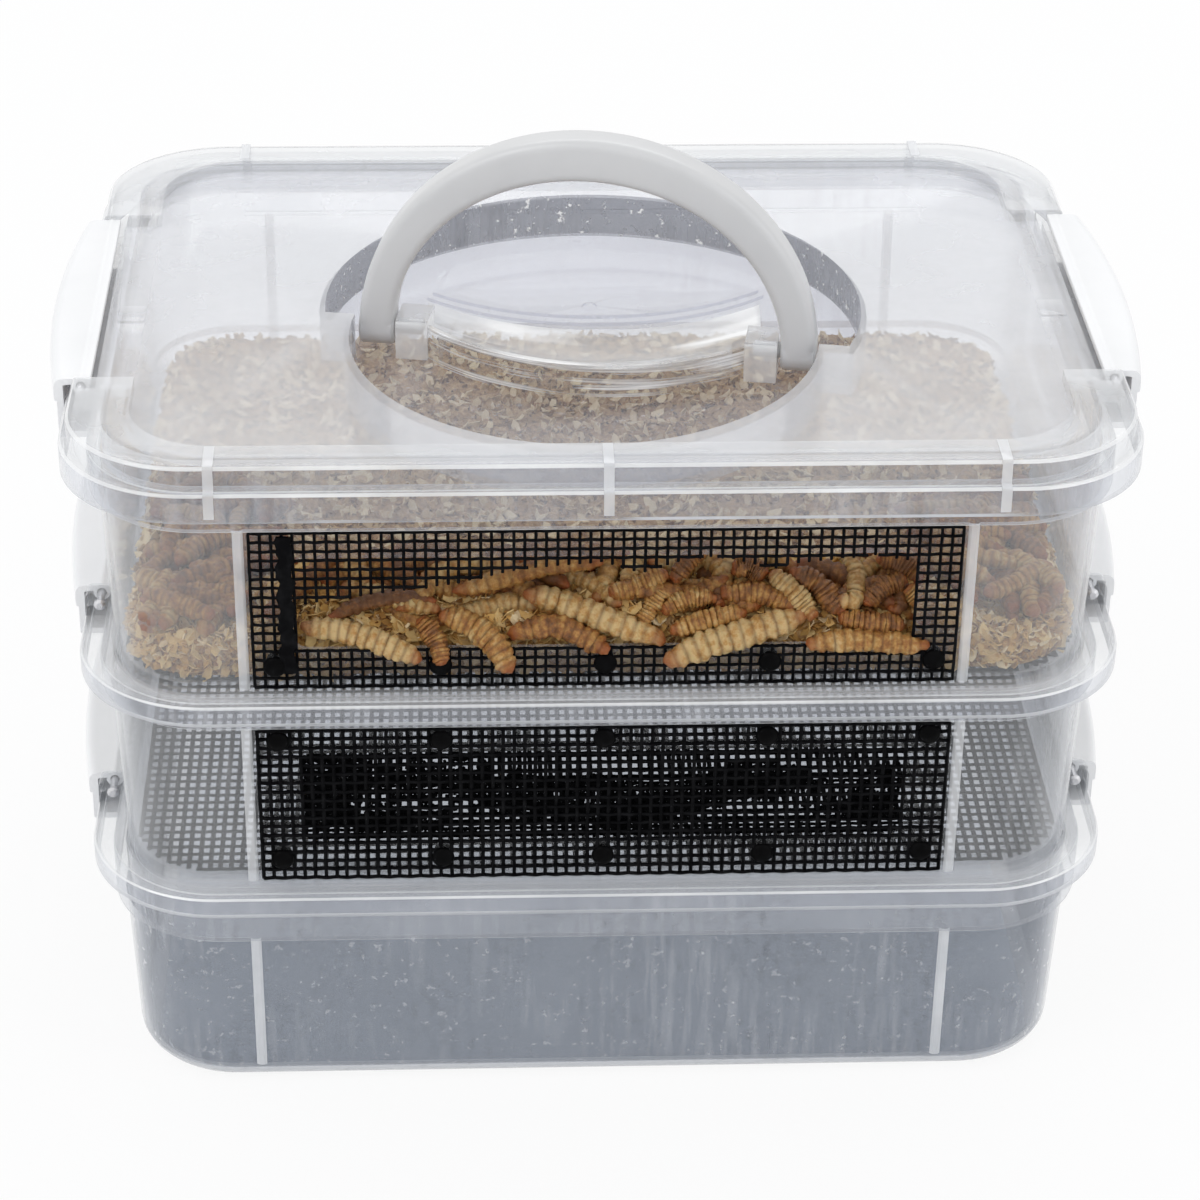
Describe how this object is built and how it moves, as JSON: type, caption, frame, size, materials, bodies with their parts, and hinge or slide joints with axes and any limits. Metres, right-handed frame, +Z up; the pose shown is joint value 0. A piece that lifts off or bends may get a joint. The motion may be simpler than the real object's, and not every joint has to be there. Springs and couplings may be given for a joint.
{
  "type": "tiered mealworm breeding box",
  "caption": "Stackable clear mealworm breeding box with mesh windows and mesh floors, side latches and a lid with a folding carry handle.",
  "frame": {"origin": "centre of the base tray's underside", "axes": "+X to the right along the long side, +Y to the back away from the mesh windows, +Z up"},
  "size_m": [0.336, 0.2412, 0.2827],
  "materials": {
    "clear_plastic": "clear, slightly frosted",
    "white_plastic": "satin",
    "black_mesh": "woven, matt",
    "rivet": "satin",
    "pin_steel": "satin",
    "bran": "loose flakes"
  },
  "bodies": {
    "base_tray": {"base_tray": "clear_plastic"},
    "middle_tray": {"middle_tray": "clear_plastic", "middle_window_mesh": "black_mesh", "middle_floor_mesh": "black_mesh", "middle_rivet_01": "rivet", "middle_rivet_02": "rivet", "middle_rivet_03": "rivet", "middle_rivet_04": "rivet", "middle_rivet_05": "rivet", "middle_rivet_06": "rivet", "middle_rivet_07": "rivet", "middle_rivet_08": "rivet", "middle_rivet_09": "rivet", "middle_rivet_10": "rivet", "middle_latch_pin_left": "pin_steel", "middle_latch_pin_right": "pin_steel"},
    "upper_tray": {"upper_tray": "clear_plastic", "upper_window_mesh": "black_mesh", "upper_floor_mesh": "black_mesh", "upper_rivet_01": "rivet", "upper_rivet_02": "rivet", "upper_rivet_03": "rivet", "upper_rivet_04": "rivet", "upper_rivet_05": "rivet", "upper_latch_pin_left": "pin_steel", "upper_latch_pin_right": "pin_steel", "bran_bedding": "bran"},
    "lid": {"lid": "clear_plastic", "handle_pin_left": "white_plastic", "handle_pin_right": "white_plastic", "lid_latch_pin_left": "pin_steel", "lid_latch_pin_right": "pin_steel"},
    "carry_handle": {"carry_handle": "white_plastic"},
    "middle_latch_left": {"middle_latch_left": "white_plastic"},
    "middle_latch_right": {"middle_latch_right": "white_plastic"},
    "upper_latch_left": {"upper_latch_left": "white_plastic"},
    "upper_latch_right": {"upper_latch_right": "white_plastic"},
    "lid_latch_left": {"lid_latch_left": "white_plastic"},
    "lid_latch_right": {"lid_latch_right": "white_plastic"}
  },
  "joints": [
    {"name": "middle_tray_lift", "type": "slide", "parent": "base_tray", "child": "middle_tray", "axis": [0, 0, 1], "range_m": [0, 0.06]},
    {"name": "upper_tray_lift", "type": "slide", "parent": "middle_tray", "child": "upper_tray", "axis": [0, 0, 1], "range_m": [0, 0.06]},
    {"name": "lid_lift", "type": "slide", "parent": "upper_tray", "child": "lid", "axis": [0, 0, 1], "range_m": [0, 0.06]},
    {"name": "handle_fold", "type": "hinge", "parent": "lid", "child": "carry_handle", "pos_m": [-0.00215, -0.01382, 0.2152], "axis": [0.9863, -0.165, 0], "range_deg": [0, 90]},
    {"name": "middle_latch_left_hinge", "type": "hinge", "parent": "middle_tray", "child": "middle_latch_left", "pos_m": [-0.153, 0, 0.0822], "axis": [0, 1, 0], "range_deg": [0, 90]},
    {"name": "middle_latch_right_hinge", "type": "hinge", "parent": "middle_tray", "child": "middle_latch_right", "pos_m": [0.153, 0, 0.0822], "axis": [0, -1, 0], "range_deg": [0, 90]},
    {"name": "upper_latch_left_hinge", "type": "hinge", "parent": "upper_tray", "child": "upper_latch_left", "pos_m": [-0.153, 0, 0.1508], "axis": [0, 1, 0], "range_deg": [0, 90]},
    {"name": "upper_latch_right_hinge", "type": "hinge", "parent": "upper_tray", "child": "upper_latch_right", "pos_m": [0.153, 0, 0.1508], "axis": [0, -1, 0], "range_deg": [0, 90]},
    {"name": "lid_latch_left_hinge", "type": "hinge", "parent": "lid", "child": "lid_latch_left", "pos_m": [-0.155, 0, 0.2217], "axis": [0, 1, 0], "range_deg": [0, 90]},
    {"name": "lid_latch_right_hinge", "type": "hinge", "parent": "lid", "child": "lid_latch_right", "pos_m": [0.155, 0, 0.2217], "axis": [0, -1, 0], "range_deg": [0, 90]}
  ]
}
